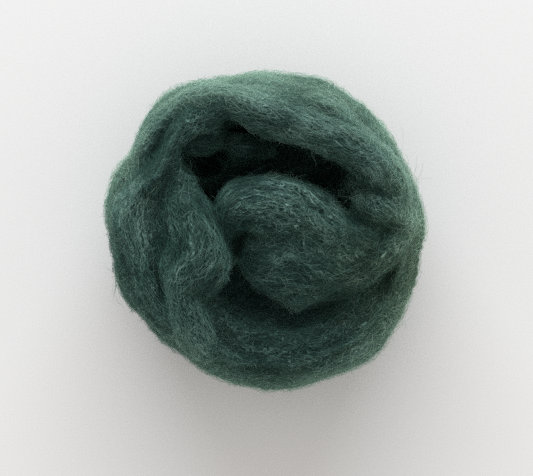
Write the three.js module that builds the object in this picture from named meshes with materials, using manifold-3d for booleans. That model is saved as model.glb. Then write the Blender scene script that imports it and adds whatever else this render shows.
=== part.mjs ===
// A ball of carded wool batting: one thick soft strip wound round on itself, its folds coiled in at the top.
// Millimetres, +Z up. The ball stands on its flat spot at z = 0, and +Y is the side of the broad top fold.
import * as THREE from 'three';
import { mergeVertices } from 'three/addons/utils/BufferGeometryUtils.js';
import Module from 'manifold-3d';

const { degToRad, radToDeg, euclideanModulo } = THREE.MathUtils;

// Driving dimensions.
const BALL_RADIUS = 64.3;      // of the round that the outline follows, seen from above
const FLAT_DEPTH = 3;          // how much of the round underside is pressed flat
const CORE_INSET = 7;          // how far the core lies inside the outline
const CORE_TOP = 56;           // height of the core before the nest is hollowed into it

// The hollows at the top, each a round with steep walls: the nest, its corner under the curl, and the gaps
// that the folds leave under the top band and beside the dome.
const HOLLOWS = {
  nest: { x: 5, y: -4, radius: 41.5, brim: 80, floor: 42 },
  corner: { x: -23.5, y: 27, radius: 9.5, brim: 80, floor: 38 },
  bandGap: { x: -9, y: 34, radius: 9, brim: 80, floor: 42 },
  domeGap: { x: 8, y: 26, radius: 12, brim: 80, floor: 37 },
  farGap: { x: 23, y: 20.5, radius: 11, brim: 80, floor: 39 },
};

// Where the outline swells into a corner or flattens, by bearing from +X.
const OUTLINE_SWELLS = [
  { bearing: 63, swell: 1.2, spread: 9 },
  { bearing: 84, swell: -1.8, spread: 12 },
  { bearing: 104, swell: -1.8, spread: 12 },
  { bearing: 124, swell: 2.4, spread: 9 },
  { bearing: 150, swell: -4.4, spread: 10 },
  { bearing: 175, swell: 4.8, spread: 12 },
  { bearing: 204, swell: 2, spread: 14 },
  { bearing: 240, swell: -3, spread: 12 },
  { bearing: 313, swell: 2.8, spread: 12 },
];

// The two outer turns of the strip. Each is a ring from inset inside the outline in to a share of the way to
// the nest's rim. Middle is the height of its middle, and it dips by that much towards the dip's bearing.
// Swell is its share of the outline's swells.
const OUTER_TURNS = {
  lowerTurn: { middle: 34.5, dip: 8, dipBearing: 280, high: 31, inset: 1.8, innerShare: 0.35, swell: 0.5 },
  upperTurn: { middle: 45, dip: 9, dipBearing: 285, high: 23, inset: 8, innerShare: 1.12, swell: 1 },
};

// Two wraps of the strip that climb around the side. Inset is from the outline to the middle of the wrap.
const SIDE_WRAPS = {
  climbingWrap: [
    { bearing: 165, inset: 16, z: 18, wide: 8, high: 8 },
    { bearing: 205, inset: 14, z: 25, wide: 13, high: 15 },
    { bearing: 250, inset: 13, z: 31, wide: 13.5, high: 18 },
    { bearing: 295, inset: 13, z: 38, wide: 13.5, high: 18 },
    { bearing: 340, inset: 14, z: 42, wide: 14, high: 17 },
    { bearing: 385, inset: 15, z: 44, wide: 14.5, high: 16 },
    { bearing: 420, inset: 20, z: 45, wide: 11, high: 11 },
  ],
  cornerWrap: [
    { bearing: 20, inset: 18, z: 20, wide: 8, high: 8 },
    { bearing: 58, inset: 14, z: 27, wide: 13.5, high: 15 },
    { bearing: 92, inset: 13, z: 32, wide: 13.5, high: 18 },
    { bearing: 125, inset: 14, z: 38, wide: 14.5, high: 18 },
    { bearing: 150, inset: 14, z: 42, wide: 14.5, high: 17 },
    { bearing: 172, inset: 15, z: 45, wide: 14.5, high: 15 },
    { bearing: 205, inset: 20, z: 45, wide: 11, high: 11 },
  ],
};

// The folds at the top, each a soft roll along a path. Wide and high are the half sizes of its section there.
const FOLDS = {
  topBand: [
    { x: -45, y: -4, z: 43, wide: 7, high: 9 },
    { x: -48, y: 14, z: 47, wide: 8, high: 12 },
    { x: -44.5, y: 31, z: 50, wide: 8, high: 14 },
    { x: -31, y: 45, z: 57, wide: 7.5, high: 15 },
    { x: -18, y: 49, z: 63, wide: 7.5, high: 15 },
    { x: 2.5, y: 43.8, z: 69, wide: 8.2, high: 14 },
    { x: 21.5, y: 36.8, z: 69, wide: 8.4, high: 14 },
    { x: 41, y: 26.8, z: 64, wide: 8.4, high: 14 },
    { x: 51, y: 11, z: 55, wide: 8.5, high: 13 },
    { x: 50, y: -8, z: 46, wide: 8, high: 10 },
  ],
  upperLeftCurl: [
    { x: -45, y: 30, z: 50, wide: 8, high: 10 },
    { x: -37, y: 36, z: 55, wide: 8, high: 11 },
    { x: -28, y: 36, z: 57, wide: 8, high: 9 },
    { x: -20, y: 35, z: 56, wide: 7, high: 8 },
    { x: -15, y: 35, z: 52, wide: 5, high: 6 },
  ],
  deepFold: [
    { x: -17, y: 36, z: 46, wide: 4, high: 9 },
    { x: -11, y: 32, z: 50.5, wide: 6, high: 10 },
    { x: -3, y: 31, z: 48, wide: 5.5, high: 9 },
    { x: 4, y: 29, z: 43, wide: 3, high: 6 },
  ],
  leftFold: [
    { x: -37, y: 27, z: 46, wide: 6, high: 11 },
    { x: -34, y: 19.5, z: 52, wide: 8.5, high: 14.5 },
    { x: -31.5, y: 10, z: 57.5, wide: 9.5, high: 15.5 },
    { x: -28.5, y: 1, z: 62.5, wide: 11, high: 15.5 },
    { x: -26.5, y: -9, z: 64, wide: 12.5, high: 15 },
    { x: -30, y: -17, z: 63, wide: 11, high: 15 },
    { x: -32, y: -25, z: 61, wide: 8, high: 14 },
    { x: -29, y: -36, z: 60, wide: 8.5, high: 14 },
    { x: -25.5, y: -44, z: 57, wide: 8.5, high: 13 },
    { x: -20.5, y: -51, z: 51, wide: 7, high: 11 },
  ],
  leftLip: [
    { x: -18, y: 0, z: 53, wide: 4, high: 9 },
    { x: -17.5, y: -8, z: 58.5, wide: 5.5, high: 12 },
    { x: -18, y: -15.5, z: 59, wide: 5.5, high: 13 },
    { x: -21, y: -22, z: 57, wide: 5, high: 12 },
    { x: -26, y: -29, z: 52, wide: 4, high: 9 },
  ],
  centreDome: [
    { x: -12, y: -8, z: 42, wide: 10, high: 13 },
    { x: -1, y: -9, z: 48, wide: 21, high: 20 },
    { x: 12, y: -7.5, z: 51, wide: 26.5, high: 20.5 },
    { x: 29, y: -9.5, z: 52, wide: 19.5, high: 21 },
    { x: 46, y: -7, z: 51, wide: 13.5, high: 18 },
    { x: 56, y: -4, z: 44, wide: 6, high: 12 },
  ],
  innerEnd: [
    { x: -15, y: -7, z: 51, wide: 5, high: 9 },
    { x: -13.5, y: 2, z: 57.5, wide: 8, high: 12 },
    { x: -8.5, y: 8, z: 62, wide: 11, high: 14 },
    { x: 4, y: 8, z: 62.5, wide: 13.5, high: 14 },
    { x: 16, y: 4, z: 62.5, wide: 12, high: 14 },
    { x: 28, y: -4, z: 62, wide: 9.8, high: 13 },
    { x: 39, y: -10, z: 55, wide: 8, high: 10 },
  ],
  rightSweep: [
    { x: 57, y: 7, z: 47, wide: 4.5, high: 8 },
    { x: 53, y: -1, z: 54, wide: 6.5, high: 11 },
    { x: 44, y: -11, z: 58, wide: 7.5, high: 12 },
    { x: 31, y: -20, z: 55, wide: 7.5, high: 12 },
    { x: 17, y: -27, z: 48, wide: 6, high: 9 },
  ],
  rightBump: [
    { x: 35, y: 11.5, z: 53, wide: 5, high: 8 },
    { x: 42, y: 8.5, z: 58.5, wide: 8, high: 11 },
    { x: 50, y: 3.5, z: 57.5, wide: 8.5, high: 11 },
    { x: 54.5, y: -2.5, z: 49, wide: 6, high: 9 },
  ],
  bottomBand: [
    { x: -20, y: -39.5, z: 38, wide: 5.5, high: 9 },
    { x: -12.5, y: -45.5, z: 42, wide: 8.5, high: 13.5 },
    { x: 1, y: -48, z: 44.5, wide: 9, high: 14.5 },
    { x: 18, y: -45.5, z: 44.5, wide: 9, high: 14.5 },
    { x: 34.5, y: -37, z: 44, wide: 9, high: 14.5 },
    { x: 46.5, y: -24.5, z: 43, wide: 8.5, high: 13 },
    { x: 52, y: -9, z: 42, wide: 7, high: 11 },
  ],
};

// How finely the solids are faceted.
const TURN_STEPS = 64;
const TURN_SIDES = 16;
const FOLD_STEPS = 24;
const FOLD_SIDES = 16;
const SIDE_STATIONS = 19;
const CORE_STEPS = 36;
const CORE_RINGS = 12;
const HOLLOW_STEPS = 28;
const HOLLOW_RINGS = 10;

const WALL_STEEPNESS = 0.5;    // 1 leaves the nest a round bowl, and less makes its wall steeper
const END_BLUNTNESS = 0.7;     // 1 leaves the end of a fold pointed, and less makes it blunter
const TORUS_TUBE = 0.25;       // tube radius of the torus that the turns are reshaped from, whose ring is 1
const MERGE_DISTANCE = 1e-4;   // vertices that lie closer than this are one

const WOOL_GREEN = 0x3c5a55;
const WOOL_ROUGHNESS = 0.95;

/** How far the outline lies from the middle at a bearing in degrees, with a share of its swells. */
function outlineReach(bearing, share = 1) {
  let reach = BALL_RADIUS;
  for (const { bearing: peak, swell, spread } of OUTLINE_SWELLS) {
    const away = euclideanModulo(bearing - peak + 180, 360) - 180;
    reach += share * swell * Math.exp(-((away / spread) ** 2));
  }
  return reach;
}

/** A smooth curve through three values that a function takes from each row. */
function smoothThrough(rows, values) {
  return new THREE.CatmullRomCurve3(rows.map((row) => new THREE.Vector3(...values(row))));
}

/** A closed solid from a geometry, whose seams are merged. */
function solidFrom(wasm, geometry) {
  geometry.deleteAttribute('normal');
  geometry.deleteAttribute('uv');
  const merged = mergeVertices(geometry, MERGE_DISTANCE);
  const vertProperties = new Float32Array(merged.attributes.position.array);
  const triVerts = new Uint32Array(merged.index.array);
  return new wasm.Manifold(new wasm.Mesh({ numProp: 3, vertProperties, triVerts }));
}

/** Moves every vertex of a geometry to the place that a function gives for it. */
function reshape(geometry, place) {
  const { position } = geometry.attributes;
  const vertex = new THREE.Vector3();
  for (let i = 0; i < position.count; i += 1) {
    place(vertex.fromBufferAttribute(position, i));
    position.setXYZ(i, vertex.x, vertex.y, vertex.z);
  }
  return geometry;
}

/** How far the nest's rim lies from the middle of the ball, along an angle. */
function nestReach(angle) {
  const { x, y, radius } = HOLLOWS.nest;
  const toward = x * Math.cos(angle) + y * Math.sin(angle);
  const aside = x * Math.sin(angle) - y * Math.cos(angle);
  return toward + Math.sqrt(radius ** 2 - aside ** 2);
}

/** One outer turn: a torus whose oval section spans from the outline in to its share of the nest's reach. */
function turnGeometry({ middle, dip, dipBearing, high, inset, innerShare, swell }) {
  const torus = new THREE.TorusGeometry(1, TORUS_TUBE, TURN_SIDES, TURN_STEPS);
  return reshape(torus, (vertex) => {
    const angle = Math.atan2(vertex.y, vertex.x);
    const across = (Math.hypot(vertex.x, vertex.y) - 1) / TORUS_TUBE;
    const up = vertex.z / TORUS_TUBE;
    const outer = outlineReach(radToDeg(angle), swell) - inset;
    const inner = innerShare * nestReach(angle);
    const radius = (outer + inner) / 2 + ((outer - inner) / 2) * across;
    const height = middle - dip * Math.cos(angle - degToRad(dipBearing)) + high * up;
    vertex.set(radius * Math.cos(angle), radius * Math.sin(angle), height);
  });
}

/** The wool inside the turns: a plain flattened round, its lowest part below the floor. */
function coreGeometry() {
  const radius = BALL_RADIUS - CORE_INSET;
  const halfHeight = (CORE_TOP + FLAT_DEPTH) / 2;
  const sphere = new THREE.SphereGeometry(1, CORE_STEPS, CORE_RINGS);
  sphere.rotateX(Math.PI / 2);
  return sphere.scale(radius, radius, halfHeight).translate(0, 0, halfHeight - FLAT_DEPTH);
}

/** A hollow: a round with steep walls, from its floor up past its brim. */
function hollowGeometry({ x, y, radius: reach, brim, floor }) {
  const sphere = new THREE.SphereGeometry(1, HOLLOW_STEPS, HOLLOW_RINGS);
  sphere.rotateX(Math.PI / 2);
  return reshape(sphere, (vertex) => {
    const radius = reach * Math.hypot(vertex.x, vertex.y) ** WALL_STEEPNESS;
    const angle = Math.atan2(vertex.y, vertex.x);
    vertex.set(x + radius * Math.cos(angle), y + radius * Math.sin(angle), brim + (brim - floor) * vertex.z);
  });
}

/** A fold: a sphere drawn out along the path of its rows, with their sections, and rounded at both ends. */
function foldGeometry(rows) {
  const path = smoothThrough(rows, ({ x, y, z }) => [x, y, z]);
  const sizes = smoothThrough(rows, ({ wide, high }) => [wide, high, 0]);
  const sphere = new THREE.SphereGeometry(1, FOLD_SIDES, FOLD_STEPS);
  const up = new THREE.Vector3(0, 0, 1);
  return reshape(sphere, (vertex) => {
    const along = (1 - vertex.y) / 2;
    const centre = path.getPoint(along);
    const tangent = path.getTangent(along);
    const side = new THREE.Vector3().crossVectors(up, tangent).normalize();
    const rise = new THREE.Vector3().crossVectors(tangent, side);
    const size = sizes.getPoint(along);
    const turn = Math.atan2(vertex.z, vertex.x);
    const girth = Math.hypot(vertex.x, vertex.z) ** END_BLUNTNESS;
    vertex.copy(centre);
    vertex.addScaledVector(side, size.x * girth * Math.cos(turn));
    vertex.addScaledVector(rise, size.y * girth * Math.sin(turn));
  });
}

/** The rows of a wrap on the side, drawn more closely and turned from bearings into places. */
function sideRows(rows) {
  const places = smoothThrough(rows, ({ bearing, inset, z }) => [bearing, inset, z]);
  const sizes = smoothThrough(rows, ({ wide, high }) => [wide, high, 0]);
  return Array.from({ length: SIDE_STATIONS }, (_, station) => {
    const along = station / (SIDE_STATIONS - 1);
    const { x: bearing, y: inset, z } = places.getPoint(along);
    const { x: wide, y: high } = sizes.getPoint(along);
    const radius = outlineReach(bearing) - inset;
    const angle = degToRad(bearing);
    return { x: radius * Math.cos(angle), y: radius * Math.sin(angle), z, wide, high };
  });
}

/** A block below z = 0, wider than the ball, whose top cuts the underside flat. */
function floorGeometry() {
  const size = 4 * BALL_RADIUS;
  return new THREE.BoxGeometry(size, size, size).translate(0, 0, -size / 2);
}

/** The whole ball as one solid: the turns and wraps, hollowed at the top, with the folds laid in and over. */
async function woundBall() {
  const wasm = await Module();
  wasm.setup();
  const solid = (geometry) => solidFrom(wasm, geometry);
  let ball = solid(coreGeometry());
  for (const turn of Object.values(OUTER_TURNS)) {
    ball = ball.add(solid(turnGeometry(turn)));
  }
  for (const rows of Object.values(SIDE_WRAPS)) {
    ball = ball.add(solid(foldGeometry(sideRows(rows))));
  }
  for (const hollow of Object.values(HOLLOWS)) {
    ball = ball.subtract(solid(hollowGeometry(hollow)));
  }
  for (const rows of Object.values(FOLDS)) {
    ball = ball.add(solid(foldGeometry(rows)));
  }
  return ball.subtract(solid(floorGeometry())).getMesh();
}

/** The ball's mesh, with the middle of its box over the origin. */
function ballMesh({ vertProperties, triVerts }) {
  const geometry = new THREE.BufferGeometry();
  geometry.setAttribute('position', new THREE.BufferAttribute(vertProperties, 3));
  geometry.setIndex(new THREE.BufferAttribute(triVerts, 1));
  geometry.computeBoundingBox();
  const middle = geometry.boundingBox.getCenter(new THREE.Vector3());
  geometry.translate(-middle.x, -middle.y, 0);
  geometry.computeVertexNormals();
  const wool = new THREE.MeshStandardMaterial({ color: WOOL_GREEN, roughness: WOOL_ROUGHNESS, metalness: 0 });
  const mesh = new THREE.Mesh(geometry, wool);
  mesh.name = 'wool_batting_ball';
  return mesh;
}

const group = new THREE.Group();
group.add(ballMesh(await woundBall()));

export default group;
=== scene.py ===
"""The looks of a ball of dark green carded wool batting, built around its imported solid.

Metres, +Z up. The ball is one soft strip wound round on itself: two outer turns, two wraps that climb around
the side, and folds coiled into a nest at the top. Its tables are in millimetres, and the meshes in metres.
"""

import itertools
import math

import bpy
import numpy as np
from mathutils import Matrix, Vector


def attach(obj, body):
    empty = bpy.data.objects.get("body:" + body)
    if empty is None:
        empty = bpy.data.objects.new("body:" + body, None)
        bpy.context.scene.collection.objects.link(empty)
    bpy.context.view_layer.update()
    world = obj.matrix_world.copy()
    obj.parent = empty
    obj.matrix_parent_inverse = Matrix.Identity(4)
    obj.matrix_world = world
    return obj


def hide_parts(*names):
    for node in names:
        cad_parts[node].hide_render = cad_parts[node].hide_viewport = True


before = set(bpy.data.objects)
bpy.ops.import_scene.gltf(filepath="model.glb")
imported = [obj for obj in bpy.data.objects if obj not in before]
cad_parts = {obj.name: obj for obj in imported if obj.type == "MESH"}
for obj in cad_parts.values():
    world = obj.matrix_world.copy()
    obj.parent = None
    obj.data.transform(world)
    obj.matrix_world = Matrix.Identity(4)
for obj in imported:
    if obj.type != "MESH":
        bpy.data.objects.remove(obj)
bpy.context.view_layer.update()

NODE = "wool_batting_ball"
BODY = "root"
MM = 0.001

# The camera looks straight down. A pixel of the picture covers 0.4 mm at the middle of the ball's height.
PHOTO_SIZE = (533, 476)
PHOTO_BALL_MIDDLE = (263, 230.5)      # the pixel that shows the middle of the ball
PIXEL = 0.4 * MM
CAMERA_HEIGHT = 0.84
TARGET_HEIGHT = 0.04
SENSOR = 36

# The ball's form, in millimetres.
BALL_RADIUS = 64.3
CORE_RADIUS = 57.3
CORE_TOP = 56
FLAT_DEPTH = 3            # how far the core reaches below the floor, which cuts it flat
WALL_STEEPNESS = 0.5      # of the hollows' walls: the lower, the steeper
END_BLUNTNESS = 0.7       # of the folds' ends: the lower, the blunter

# The hollows pressed into the top: the nest, its corner under the curl, and gaps under the band and the dome.
HOLLOWS = {
    "nest": {"x": 5, "y": -4, "radius": 41.5, "brim": 80, "floor": 42},
    "corner": {"x": -23.5, "y": 27, "radius": 9.5, "brim": 80, "floor": 38},
    "band_gap": {"x": -9, "y": 34, "radius": 9, "brim": 80, "floor": 42},
    "dome_gap": {"x": 8, "y": 26, "radius": 12, "brim": 80, "floor": 37},
    "far_gap": {"x": 23, "y": 20.5, "radius": 11, "brim": 80, "floor": 39},
}

# Where the outline swells into a corner or flattens: bearing from +X, swell, spread.
OUTLINE_SWELLS = [
    (63, 1.2, 9),
    (84, -1.8, 12),
    (104, -1.8, 12),
    (124, 2.4, 9),
    (150, -4.4, 10),
    (175, 4.8, 12),
    (204, 2, 14),
    (240, -3, 12),
    (313, 2.8, 12),
]

# The two outer turns, as rings with an oval section.
OUTER_TURNS = {
    "lower_turn": {
        "middle": 34.5, "dip": 8, "dip_bearing": 280, "high": 31, "inset": 1.8, "inner_share": 0.35,
        "swell": 0.5,
    },
    "upper_turn": {
        "middle": 45, "dip": 9, "dip_bearing": 285, "high": 23, "inset": 8, "inner_share": 1.12,
        "swell": 1,
    },
}

# Wraps on the side. Columns: bearing, inset from the outline, z, half width, half height.
SIDE_WRAPS = {
    "climbing_wrap": [
        (165, 16, 18, 8, 8),
        (205, 14, 25, 13, 15),
        (250, 13, 31, 13.5, 18),
        (295, 13, 38, 13.5, 18),
        (340, 14, 42, 14, 17),
        (385, 15, 44, 14.5, 16),
        (420, 20, 45, 11, 11),
    ],
    "corner_wrap": [
        (20, 18, 20, 8, 8),
        (58, 14, 27, 13.5, 15),
        (92, 13, 32, 13.5, 18),
        (125, 14, 38, 14.5, 18),
        (150, 14, 42, 14.5, 17),
        (172, 15, 45, 14.5, 15),
        (205, 20, 45, 11, 11),
    ],
}

# Folds at the top. Columns: x, y, z, half width, half height.
FOLDS = {
    "top_band": [
        (-45, -4, 43, 7, 9),
        (-48, 14, 47, 8, 12),
        (-44.5, 31, 50, 8, 14),
        (-31, 45, 57, 7.5, 15),
        (-18, 49, 63, 7.5, 15),
        (2.5, 43.8, 69, 8.2, 14),
        (21.5, 36.8, 69, 8.4, 14),
        (41, 26.8, 64, 8.4, 14),
        (51, 11, 55, 8.5, 13),
        (50, -8, 46, 8, 10),
    ],
    "upper_left_curl": [
        (-45, 30, 50, 8, 10),
        (-37, 36, 55, 8, 11),
        (-28, 36, 57, 8, 9),
        (-20, 35, 56, 7, 8),
        (-15, 35, 52, 5, 6),
    ],
    "deep_fold": [
        (-17, 36, 46, 4, 9),
        (-11, 32, 50.5, 6, 10),
        (-3, 31, 48, 5.5, 9),
        (4, 29, 43, 3, 6),
    ],
    "left_fold": [
        (-37, 27, 46, 6, 11),
        (-34, 19.5, 52, 8.5, 14.5),
        (-31.5, 10, 57.5, 9.5, 15.5),
        (-28.5, 1, 62.5, 11, 15.5),
        (-26.5, -9, 64, 12.5, 15),
        (-30, -17, 63, 11, 15),
        (-32, -25, 61, 8, 14),
        (-29, -36, 60, 8.5, 14),
        (-25.5, -44, 57, 8.5, 13),
        (-20.5, -51, 51, 7, 11),
    ],
    "left_lip": [
        (-18, 0, 53, 4, 9),
        (-17.5, -8, 58.5, 5.5, 12),
        (-18, -15.5, 59, 5.5, 13),
        (-21, -22, 57, 5, 12),
        (-26, -29, 52, 4, 9),
    ],
    "centre_dome": [
        (-12, -8, 42, 10, 13),
        (-1, -9, 48, 21, 20),
        (12, -7.5, 51, 26.5, 20.5),
        (29, -9.5, 52, 19.5, 21),
        (46, -7, 51, 13.5, 18),
        (56, -4, 44, 6, 12),
    ],
    "inner_end": [
        (-15, -7, 51, 5, 9),
        (-13.5, 2, 57.5, 8, 12),
        (-8.5, 8, 62, 11, 14),
        (4, 8, 62.5, 13.5, 14),
        (16, 4, 62.5, 12, 14),
        (28, -4, 62, 9.8, 13),
        (39, -10, 55, 8, 10),
    ],
    "right_sweep": [
        (57, 7, 47, 4.5, 8),
        (53, -1, 54, 6.5, 11),
        (44, -11, 58, 7.5, 12),
        (31, -20, 55, 7.5, 12),
        (17, -27, 48, 6, 9),
    ],
    "right_bump": [
        (35, 11.5, 53, 5, 8),
        (42, 8.5, 58.5, 8, 11),
        (50, 3.5, 57.5, 8.5, 11),
        (54.5, -2.5, 49, 6, 9),
    ],
    "bottom_band": [
        (-20, -39.5, 38, 5.5, 9),
        (-12.5, -45.5, 42, 8.5, 13.5),
        (1, -48, 44.5, 9, 14.5),
        (18, -45.5, 44.5, 9, 14.5),
        (34.5, -37, 44, 9, 14.5),
        (46.5, -24.5, 43, 8.5, 13),
        (52, -9, 42, 7, 11),
    ],
}

# How finely the forms are made, before they are joined.
FOLD_STEPS = 90
FOLD_SIDES = 48
TURN_STEPS = 180
TURN_SIDES = 64
SIDE_STATIONS = 19
PATH_STATIONS = 60
UNION_VOXEL = 1.0
SKIN_VOXEL = 0.95
SKIN_ROUNDING = 10        # passes that round the creases of the joined skin
SMOOTHING = 0.5           # how far a smoothing pass moves each point towards the middle of its neighbours
SKIN_INSET = 0.7          # how far the skin lies inside the ball, whose outermost wool is loose fibres
NOISE_LATTICE = 64
POINTS_AT_ONCE = 2000

# The seeds of all that is random. Each lock and each piece of fibres takes the next one.
SEEDS = {"lumps": 11, "locks": 21, "sweep": 41, "crimp": 43, "streaks": 51, "patches": 53, "fibres": 101}

# Lumps raised on the skin, and locks. Columns: length along the strip, width round it, height.
LUMP_SIZE = 13
LUMP_HEIGHT = 1.5
LOCKS = [
    (30, 7, 0.9),
    (16, 3.6, 0.7),
    (7, 5, 0.8),
    (9, 2.0, 0.35),
]
LOCK_FADE = 2.5           # the locks reach their full height where the next strip fits this much worse

# What is known of the wool at each point of the skin: its painted shade, how loose it is and how much painted
# rim light it has, its streak, and how olive.
STATE_FIELDS = ("painted_shade", "loose_and_rim_light", "streak", "olive")

# Painted shade: in creases, deep in the nest and in painted patches, and painted light, as less shade, on
# ridges.
CREASE_PASSES = 80        # smoothing passes that level the creases, to measure how deep each point lies
CREASE_DEPTH = 2.5        # a point this far below the levelled skin gets the full painted shade
RIDGE_PASSES = 400        # smoothing passes that wear down whole folds
RIDGE_HEIGHT = 4          # a point this far above the worn skin is on a ridge
RIDGE_PAINTED_LIGHT = 0.4         # how much painted light it gets there, as a drop in the painted shade
NEST_DEPTH_SHADE = {"top": 68, "bottom": 52, "painted_shade": 0.45}    # heights in the nest, and the painted shade at the lower
PAINTED_SHADE_STRENGTH = 0.75      # how much darker wool with the full painted shade is
DARKEST_SHADE = 0.02      # no fibre is darker than this
LIGHTEST_SHADE = 0.84     # and none is lighter than this, but for loose ones, which painted rim light lifts

# Streaks of lighter and darker wool: length along the strip and width round it. Patches break them up.
STREAK_SIZE = (15, 3)
STREAK_PATCHES = {"size": 7.5, "share": 0.6}
STREAK_TONE = 0.35        # how much lighter the skin is in a light streak
STREAK_SHADE = 0.12       # and how much lighter the strands are

# Where fibres root: how many for each one where they are thickest.
FOOT_HEIGHT = 2.0         # none at the floor, and fewer up to this height
UNDERSIDE = {"turned_down": 0.45, "least": 0.45}    # the fewest strands, on faces that turn down this far
LEVEL_FACE = 0.25         # how many stand off a level face, for each one off an upright face
RIM = {"begin": 35, "width": 20, "least": 0.4}       # the fuzz grows thick over this width
NEST_EDGE = 46            # the hairs of the web root nearer to the ball's axis than this

# The crimp of the fibres, and how they lie.
CRIMP_LOCK = 2.5          # fibres that root this close together crimp almost in step
CRIMP_STEP = 4            # half turns of the crimp from one lock to the next
CRIMP_SPREAD = 0.15       # and within a lock, as a share of that
CRIMP_RISE = 0.5          # how high a strand's crimp lifts it, as a share of how far it swings it
SWEEP_SIZE = 9            # strands that root this close together sweep the same way
ALONG_STRIP = 0.7         # how much fibres that stand off the skin follow the strip, from 0 for not at all
SHORTEST = 0.5            # how short they are broken, as a share of their length
WRAP_PROBE = 0.5          # lines are drawn this high over the skin, to find which way is up
FIBRE_SIDES = 3
TAPER_ENDS = (0.06, 0.94)    # a fibre's girth follows a half wave between these shares of it
CELL_MARGIN = 0.08        # the free edge round a fibre's cell of the UV map, as a share of the cell

# Where the wool grows loose towards the rim, and lighter with painted rim light. Columns: bearing, and how
# far from the ball's axis it begins and is loosest.
LOOSE_WOOL_AND_RIM_LIGHT = [
    (0, 47, 62),
    (45, 45, 61),
    (70, 38, 60),
    (90, 44, 60),
    (110, 48, 61),
    (135, 55, 66),
    (155, 46, 60),
    (180, 57, 67),
    (205, 57, 67),
    (235, 48, 67),
    (270, 54, 64),
    (315, 52, 65),
    (342, 54, 66),
    (360, 47, 62),
]
LOOSE_LIFT = 0.8          # how much higher loose strands arch
LOOSE_RIM_LIGHT = 0.45        # painted rim light: how much lighter loose fibres are
LOOSE_WARMTH = 0.3        # and how much warmer
LOOSE_TONE = 0.8          # loose wool comes this near to one even tone, which is lighter: partly painted rim light
EVEN_TONE = 0.7

# The side where the wool is more olive.
OLIVE = {"x": 52, "y": -14, "reach": 24, "warmth": 0.5}

# Patches of painted shade, and of painted light where the last column is below 0, too small for the form.
# Columns: x, y, reach, and how much painted shade.
PAINTED_PATCHES = [
    (0, 60, 14, -0.25),
    (-4, 46, 8, -0.45),
    (15, 39, 7, -0.5),
    (14, 51, 9, 0.2),
    (-15, 40, 6, 0.6),
    (-38, 32, 8, 0.5),
    (-20, 28, 7, 0.9),
    (-2, 34, 5, 1.0),
    (-7, 21, 8, 0.65),
    (25, 20, 7, 0.7),
    (35, 15, 8, -0.75),
    (34, 3, 4, 0.5),
    (-45, 22, 5, 0.5),
    (-23, 11, 8, 0.5),
    (-46, 10, 8, -0.3),
    (-44, -8, 7, -0.45),
    (-37, -7, 6, 0.65),
    (-52, -16, 6, 0.4),
    (-29, -8, 6, 0.25),
    (-8, 3, 5, 0.65),
    (-5, -10, 6, 0.5),
    (17, -4, 8, -0.4),
    (20, -11, 8, 0.3),
    (-22, -20, 6, 0.5),
    (-2, -28, 5, 0.45),
    (9, -28, 6, -0.4),
    (-14, -44, 7, -0.45),
    (-31, -38, 6, -0.3),
    (42, -8, 8, 0.35),
    (5, -57, 12, 0.15),
]

# Fibres of each kind: in how many pieces, and how many in each. Lengths in millimetres, angles in degrees.
# Strands lie on the skin.
STRANDS = {
    "strands": {
        "pieces": 4, "count": 4450, "chances": "all_over", "length": (4, 12), "rings": 7, "stray": 34,
        "sweep": 34, "crimp": (0.1, 0.45), "wave": (3.5, 7.0), "bend": 6.0, "lift": (0.1, 1.0), "dip": 0.4,
        "width": (0.06, 0.12), "taper": 0.5, "shade": (0.63, 0.14), "warmth": (0.2, 0.2),
    },
}
# Fuzz stands off it all round, a sparse web of hairs crosses the nest, and long wisps stand off the rim.
# Fuzz and wisps have a lighter shade than the strands: painted light, for light through thin fibres at the
# rim.
FUZZ = {
    "fuzz": {
        "pieces": 2, "count": 10500, "chances": "rim", "length": (1.5, 5), "rings": 4, "lean": (5, 75),
        "curl": (0, 120), "sway": 70, "crimp": (0.0, 0.2), "wave": (2.6, 4.2), "dip": 0.1,
        "width": (0.07, 0.12), "taper": 0.3, "shade": (0.9, 0.1), "warmth": (0.2, 0.2),
    },
    "web": {
        "pieces": 1, "count": 1000, "chances": "nest", "length": (6, 15), "rings": 6, "lean": (0, 45),
        "curl": (0, 70), "sway": 50, "crimp": (0.1, 0.4), "wave": (4, 7), "dip": 0.2,
        "width": (0.06, 0.1), "taper": 0.3, "shade": (0.62, 0.12), "warmth": (0.2, 0.2),
    },
    "wisps": {
        "pieces": 1, "count": 260, "chances": "wispy", "length": (8, 18), "rings": 7, "lean": (10, 60),
        "curl": (20, 110), "sway": 60, "crimp": (0.1, 0.5), "wave": (4, 7), "dip": 0.2,
        "width": (0.06, 0.1), "taper": 0.3, "shade": (0.85, 0.1), "warmth": (0.5, 0.2),
    },
}

# Where long wisps stand off the rim. Columns: x, y, reach.
WISPS = [
    (53, -34, 8),
    (-60, -17, 5),
    (60, 22, 5),
]

# Layers of fibres painted on the skin. Columns: angle in radians, length, width, seed.
FIBRE_LAYERS = [
    (0.0, 24.0, 4.0, 3.1),
    (0.35, 20.0, 3.6, 8.7),
    (-0.4, 22.0, 4.2, 15.2),
]

# How the painted fibres drift, crimp and break. Lengths in millimetres along the strip.
STRIP_OFFSET = 7.31
DRIFT_SIZE = 9
DRIFT_REACH = 6
CRIMP_LOCK_SIZE = (9, 1.5)
CRIMP_TURNS = 14
CRIMP_WAVE = 3.2
CRIMP_REACH = 0.28
LINES_A_CELL = 14
LINE_HALF_WIDTH = 0.35
DIMMEST_TONE = 0.4
DARKEST_TONE = 0.09       # of the skin between the painted fibres
GAP_SIZE = (5, 0.9)
GAP_SEED = 51.7
GAP_EDGES = (0.35, 0.65)  # the noise that ends a fibre and begins it again
GAP_HEIGHT = 0.1          # what is left of a fibre in a gap

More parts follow.
